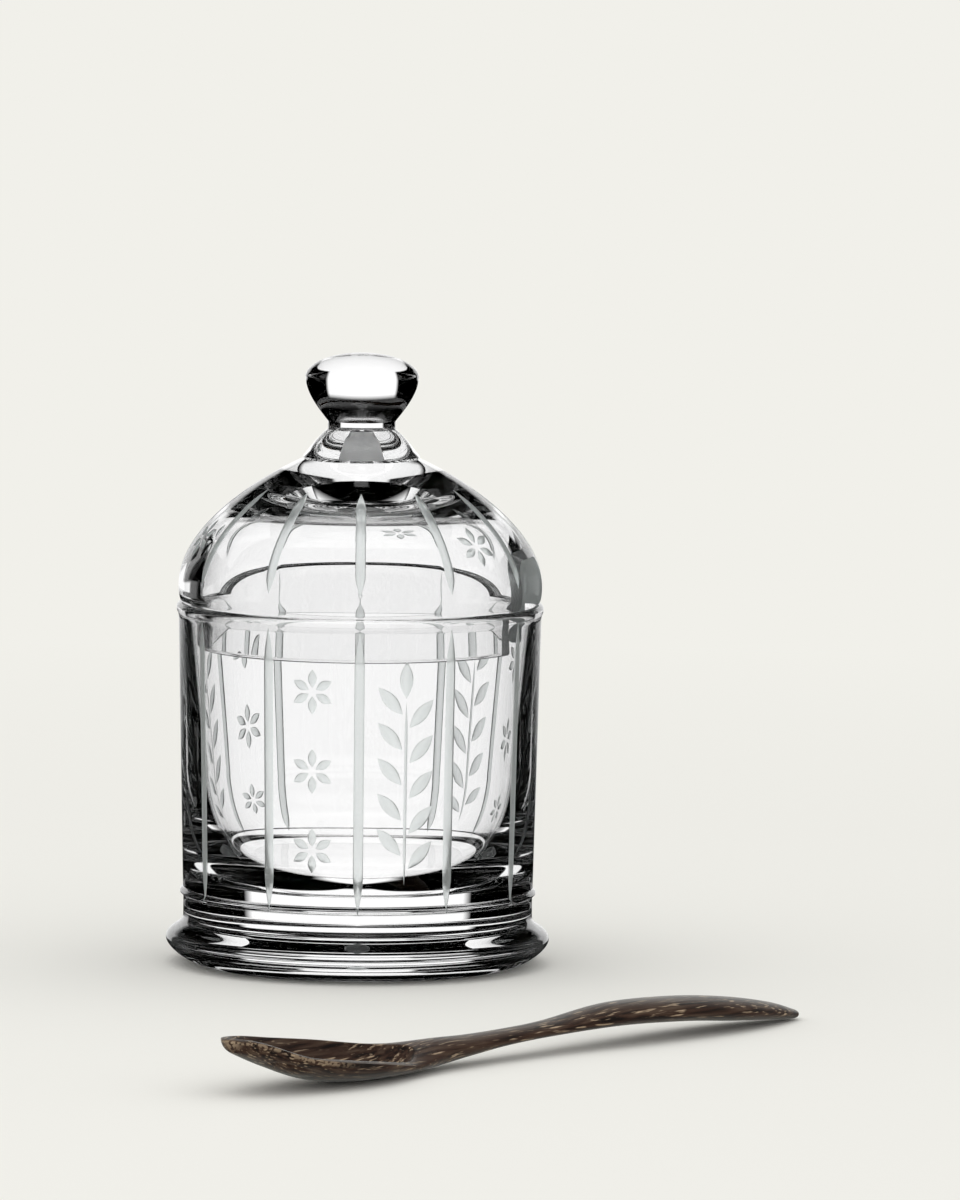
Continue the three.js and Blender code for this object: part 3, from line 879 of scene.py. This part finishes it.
def world():
    """Pale to the eye. Glass sees a white panel behind the pot between dark flags, under a dark ceiling.
    Rays that are only bent find light at the other sides too, so the pot is clear from there as well.
    Rays mirrored inside the glass find a narrower panel below the horizon, and the pale table in front.
    Rays mirrored off its outside find no light from below."""
    made = bpy.data.worlds.new("studio")
    made.use_nodes = True
    tree = made.node_tree
    tree.nodes.clear()

    # Shares of light by the way a ray goes
    way = add(tree, "ShaderNodeTexCoord").outputs["Generated"]
    axes = add(tree, "ShaderNodeSeparateXYZ", {0: way}).outputs
    bearing = add(tree, "ShaderNodeMath", {0: axes["X"], 1: axes["Y"]}, operation="ARCTAN2")
    degrees = add(tree, "ShaderNodeMath", {0: bearing}, operation="DEGREES")
    aside = add(tree, "ShaderNodeMath", {0: degrees}, operation="ABSOLUTE")
    rise = axes["Z"]
    limits = [
        ("wide", aside, PANEL_EDGE),
        ("narrow", aside, NARROW_EDGE),
        ("beside", aside, SIDES_EDGE),
        ("in_front", aside, TABLE_EDGE),
        ("ceiling", rise, CEILING),
        ("falling", rise, NARROW_BELOW),
        ("outside", rise, OUTSIDE_ABOVE),
        ("low", rise, SIDES_BELOW),
        ("table", rise, TABLE_BELOW),
        ("underside", rise, UNDERSIDE),
    ]
    share = {}
    for name, value, (start, full) in limits:
        share[name] = add(tree, "ShaderNodeMapRange", {"Value": value, "From Min": start, "From Max": full})

    # What the glass has done to the ray: only bent it, let it in, or let it in and mirrored it
    ray = add(tree, "ShaderNodeLightPath").outputs
    bent = add(tree, "ShaderNodeMath", {0: ray["Glossy Depth"], 1: 0.5}, operation="LESS_THAN")
    entered = add(tree, "ShaderNodeMath", {0: ray["Transmission Depth"], 1: 0.5}, operation="GREATER_THAN")
    returned = add(tree, "ShaderNodeMath", {0: 1.0, 1: bent}, operation="SUBTRACT")
    mirrored = add(tree, "ShaderNodeMath", {0: returned, 1: entered}, operation="MULTIPLY")

    # The panel behind the pot
    lit = add(tree, "ShaderNodeMath", {0: share["ceiling"], 1: share["underside"]}, operation="MULTIPLY")
    dropped = add(tree, "ShaderNodeMath", {0: mirrored, 1: share["falling"]}, operation="MULTIPLY")
    width = add(tree, "ShaderNodeMix", {0: dropped, 2: share["wide"], 3: share["narrow"]}, data_type="FLOAT")
    panel = add(tree, "ShaderNodeMath", {0: width, 1: lit}, operation="MULTIPLY")
    reached = add(tree, "ShaderNodeMath", {0: entered, 1: share["outside"]}, operation="MAXIMUM")
    behind = add(tree, "ShaderNodeMath", {0: panel, 1: reached}, operation="MULTIPLY")

    # The other sides, and the table in front
    sides = add(tree, "ShaderNodeMath", {0: share["beside"], 1: share["low"]}, operation="MAXIMUM")
    bright = add(tree, "ShaderNodeMath", {0: sides, 1: lit}, operation="MULTIPLY")
    others = add(tree, "ShaderNodeMath", {0: bright, 1: bent}, operation="MULTIPLY")
    near = add(tree, "ShaderNodeMath", {0: share["in_front"], 1: share["table"]}, operation="MULTIPLY")
    table = add(tree, "ShaderNodeMath", {0: near, 1: mirrored}, operation="MULTIPLY")

    # All of it together, for the glass alone
    around = add(tree, "ShaderNodeMath", {0: behind, 1: others}, operation="MAXIMUM")
    whole = add(tree, "ShaderNodeMath", {0: around, 1: table}, operation="MAXIMUM")
    studio = add(tree, "ShaderNodeMath", {0: whole, 1: PANEL_LEVEL}, operation="MULTIPLY")
    shiny = add(tree, "ShaderNodeMath", {0: ray["Is Glossy Ray"], 1: ray["Is Transmission Ray"]},
                operation="MAXIMUM")
    found = add(tree, "ShaderNodeMix", {0: shiny, 2: FILL_LEVEL, 3: studio}, data_type="FLOAT")
    level = add(tree, "ShaderNodeMath", {0: found, 1: ray["Is Camera Ray"]}, operation="MAXIMUM")
    tint = add(tree, "ShaderNodeMix", {0: ray["Is Camera Ray"], 6: colour("#FFFFFF"), 7: colour(PALE)},
               data_type="RGBA")
    sky = add(tree, "ShaderNodeBackground", {"Color": tint.outputs[2], "Strength": level})
    add(tree, "ShaderNodeOutputWorld", {"Surface": sky})
    bpy.context.scene.world = made


def side_card(name, bearing):
    """A white card beside the lid, found only by rays that were mirrored once inside the glass."""
    angle = math.radians(bearing)
    outward = Vector((math.sin(angle), math.cos(angle), 0))
    across = Vector((outward.y, -outward.x, 0))
    low, high = CARD_HEIGHTS
    corners = []
    for aside, height in ((-CARD_HALF, low), (CARD_HALF, low), (CARD_HALF, high), (-CARD_HALF, high)):
        corners.append(outward * CARD_REACH + across * aside + Vector((0, 0, height)))
    made = mesh_object(name, corners, [(0, 1, 2, 3)])
    paint, tree = material(name)
    ray = add(tree, "ShaderNodeLightPath").outputs
    entered = add(tree, "ShaderNodeMath", {0: ray["Transmission Depth"], 1: 0.5}, operation="GREATER_THAN")
    once = add(tree, "ShaderNodeMath", {0: ray["Glossy Depth"], 1: 1.0, 2: 0.4}, operation="COMPARE")
    found = add(tree, "ShaderNodeMath", {0: entered, 1: once}, operation="MULTIPLY")
    clear = add(tree, "ShaderNodeBsdfTransparent")
    white = add(tree, "ShaderNodeEmission", {"Strength": PANEL_LEVEL})
    both = add(tree, "ShaderNodeMixShader", {0: found, 1: clear, 2: white})
    add(tree, "ShaderNodeOutputMaterial", {"Surface": both})
    made.data.materials.append(paint)
    made.visible_camera = False
    made.visible_diffuse = False
    made.visible_shadow = False


def lamp(name, place, target, size, power):
    light = bpy.data.lights.new(name, "AREA")
    light.shape = "DISK"
    light.size = size
    light.energy = power
    made = bpy.data.objects.new(name, light)
    made.matrix_world = aimed(Vector(place), Vector(target), 0)
    made.visible_transmission = False
    made.visible_glossy = False
    bpy.context.collection.objects.link(made)


def aimed(place, target, roll):
    """A matrix at place that looks at target along its own -Z."""
    look = (target - place).to_track_quat("-Z", "Y").to_matrix().to_4x4()
    return Matrix.Translation(place) @ look @ Matrix.Rotation(math.radians(roll), 4, "Z")


def camera():
    """Long lens from 3 m, looking down by about 6 degrees. The aim puts the pot left of the middle."""
    lens = bpy.data.cameras.new("camera")
    lens.lens = LENS
    lens.sensor_width = SENSOR
    made = bpy.data.objects.new("camera", lens)
    made.matrix_world = aimed(Vector(CAMERA_PLACE), Vector(CAMERA_TARGET), CAMERA_ROLL)
    bpy.context.collection.objects.link(made)
    bpy.context.scene.camera = made


def settings():
    scene = bpy.context.scene
    scene.view_settings.view_transform = "Standard"
    scene.cycles.max_bounces = 32
    scene.cycles.transmission_bounces = 32
    scene.cycles.glossy_bounces = 16


floor()
world()
side_card("card_left", -CARD_BEARING)
side_card("card_right", CARD_BEARING)
lamp("top_light", LAMP_PLACE, LAMP_TARGET, LAMP_SIZE, LAMP_POWER)
camera()
settings()
